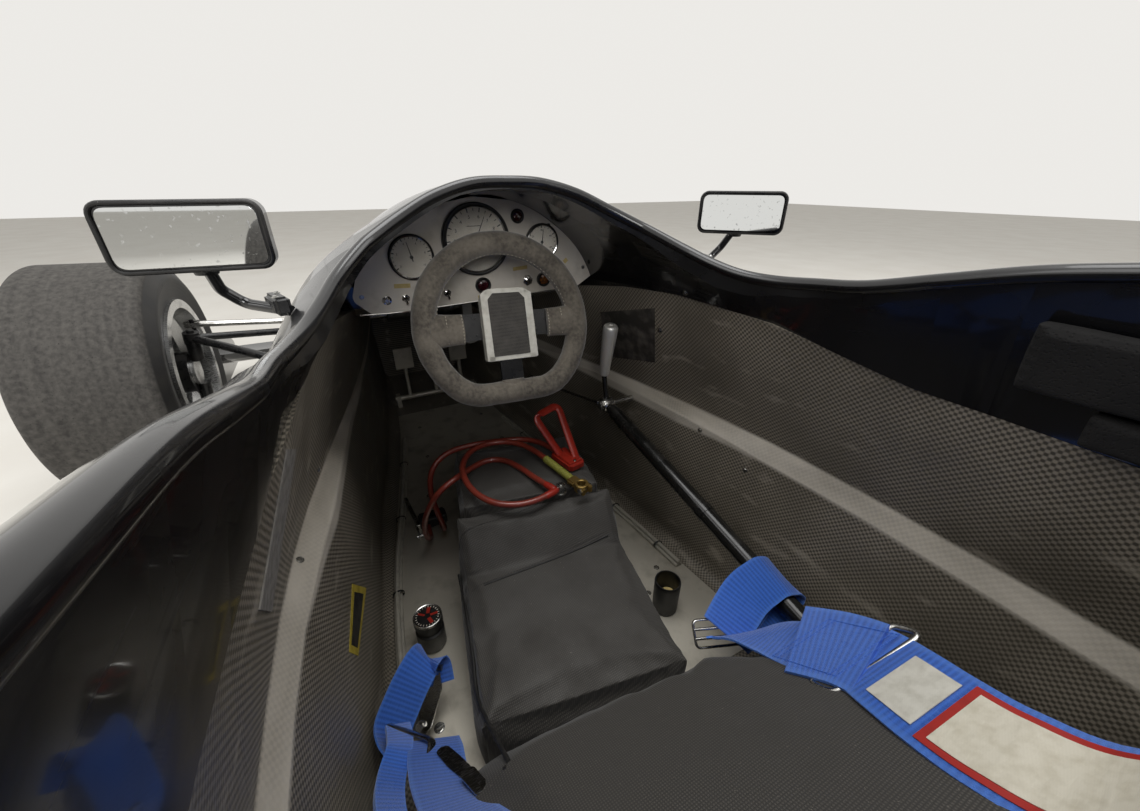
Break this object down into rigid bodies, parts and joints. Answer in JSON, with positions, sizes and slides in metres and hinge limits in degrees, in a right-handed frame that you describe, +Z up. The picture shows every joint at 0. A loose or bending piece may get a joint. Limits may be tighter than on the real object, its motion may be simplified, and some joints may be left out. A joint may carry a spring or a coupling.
{
  "type": "open wheel single-seat racing car",
  "caption": "Open wheel single-seat racing car with a hollow tub and furnished cockpit, wings, sidepods, exposed suspension, working steering and turning wheels.",
  "frame": {"origin": "on the ground, on the centre line, half way along the car", "axes": "+X points forward to the nose, +Y to the driver's left, +Z up"},
  "size_m": [4.2, 1.7112, 0.945],
  "materials": {
    "tub_carbon": "woven, satin",
    "body_black": "gloss, scratched",
    "casing_alloy": "cast",
    "sheet_alloy": "brushed, worn",
    "rim_silver": "machined",
    "tyre_grey": "worn slick",
    "arm_black": "satin",
    "rod_silver": "plated",
    "pipe_steel": "heat stained",
    "gauge_black": "gloss",
    "pad_black": "dull",
    "belt_blue": "woven",
    "cup_black": "satin",
    "loom_grey": "dull",
    "lead_brown": "gloss",
    "clamp_brass": "worn",
    "wheel_suede": "suede"
  },
  "bodies": {
    "chassis": {"tub": "tub_carbon", "upper_body": "body_black", "nose_cone": "body_black", "front_wing": "body_black", "undertray": "tub_carbon", "sidepod_l": "body_black", "sidepod_r": "body_black", "engine_cover": "body_black", "roll_hoop": "arm_black", "engine": "casing_alloy", "gearbox": "casing_alloy", "exhaust": "pipe_steel", "rear_wing": "body_black", "dash_panel": "sheet_alloy", "gauges": "gauge_black", "gear_shift": "rod_silver", "seat_pads": "pad_black", "harness": "belt_blue", "harness_fittings": "rod_silver", "cockpit_floor": "sheet_alloy", "mirrors": "body_black", "floor_fittings": "cup_black", "wiring": "loom_grey", "lead_fittings": "clamp_brass", "lead_loop": "lead_brown", "lead_feed": "lead_brown", "lead_plug": "lead_brown", "suspension_front": "arm_black", "suspension_rear": "arm_black", "uprights_rear": "arm_black", "pedals": "sheet_alloy", "steering_rack": "casing_alloy"},
    "steering": {"steering_wheel": "wheel_suede", "steering_column": "arm_black"},
    "shaft": {"lower_shaft": "arm_black"},
    "rack": {"rack_bar": "rod_silver"},
    "knuckle_l": {"upright_fl": "arm_black"},
    "knuckle_r": {"upright_fr": "arm_black"},
    "wheel_fl": {"tyre_fl": "tyre_grey", "rim_fl": "rim_silver"},
    "wheel_fr": {"tyre_fr": "tyre_grey", "rim_fr": "rim_silver"},
    "wheel_rl": {"tyre_rl": "tyre_grey", "rim_rl": "rim_silver"},
    "wheel_rr": {"tyre_rr": "tyre_grey", "rim_rr": "rim_silver"}
  },
  "joints": [
    {"name": "steer_left", "type": "hinge", "parent": "chassis", "child": "knuckle_l", "pos_m": [1.254, 0.588, 0.172], "axis": [-0.0522, -0.1149, 0.992], "range_deg": [-18, 18]},
    {"name": "steer_right", "type": "hinge", "parent": "chassis", "child": "knuckle_r", "pos_m": [1.254, -0.588, 0.172], "axis": [-0.0522, 0.1149, 0.992], "range_deg": [-18, 18]},
    {"name": "steering_turn", "type": "hinge", "parent": "chassis", "child": "steering", "pos_m": [0.472, 0, 0.524], "axis": [-0.9455, 0, 0.3256], "range_deg": [-162.5, 162.5]},
    {"name": "shaft_turn", "type": "hinge", "parent": "chassis", "child": "shaft", "pos_m": [0.77, 0, 0.42139], "axis": [-0.9902, 0, 0.1396], "range_deg": [-162.5, 162.5]},
    {"name": "rack_slide", "type": "slide", "parent": "chassis", "child": "rack", "axis": [0, 1, 0], "range_m": [-0.021, 0.021]},
    {"name": "spin_front_left", "type": "hinge", "parent": "knuckle_l", "child": "wheel_fl", "pos_m": [1.25, 0.7, 0.27635], "axis": [0, 0.9997, 0.0262], "continuous": true},
    {"name": "spin_front_right", "type": "hinge", "parent": "knuckle_r", "child": "wheel_fr", "pos_m": [1.25, -0.7, 0.27635], "axis": [0, 0.9997, -0.0262], "continuous": true},
    {"name": "spin_rear_left", "type": "hinge", "parent": "chassis", "child": "wheel_rl", "pos_m": [-1.45, 0.705, 0.28899], "axis": [0, 0.9998, 0.0175], "continuous": true},
    {"name": "spin_rear_right", "type": "hinge", "parent": "chassis", "child": "wheel_rr", "pos_m": [-1.45, -0.705, 0.28899], "axis": [0, 0.9998, -0.0175], "continuous": true}
  ],
  "couplings": [
    {"joint": "steer_right", "follows": "steer_left", "ratio": 1},
    {"joint": "steering_turn", "follows": "steer_left", "ratio": 9},
    {"joint": "shaft_turn", "follows": "steer_left", "ratio": 9},
    {"joint": "rack_slide", "follows": "steer_left", "m_per_rad": 0.0663}
  ]
}
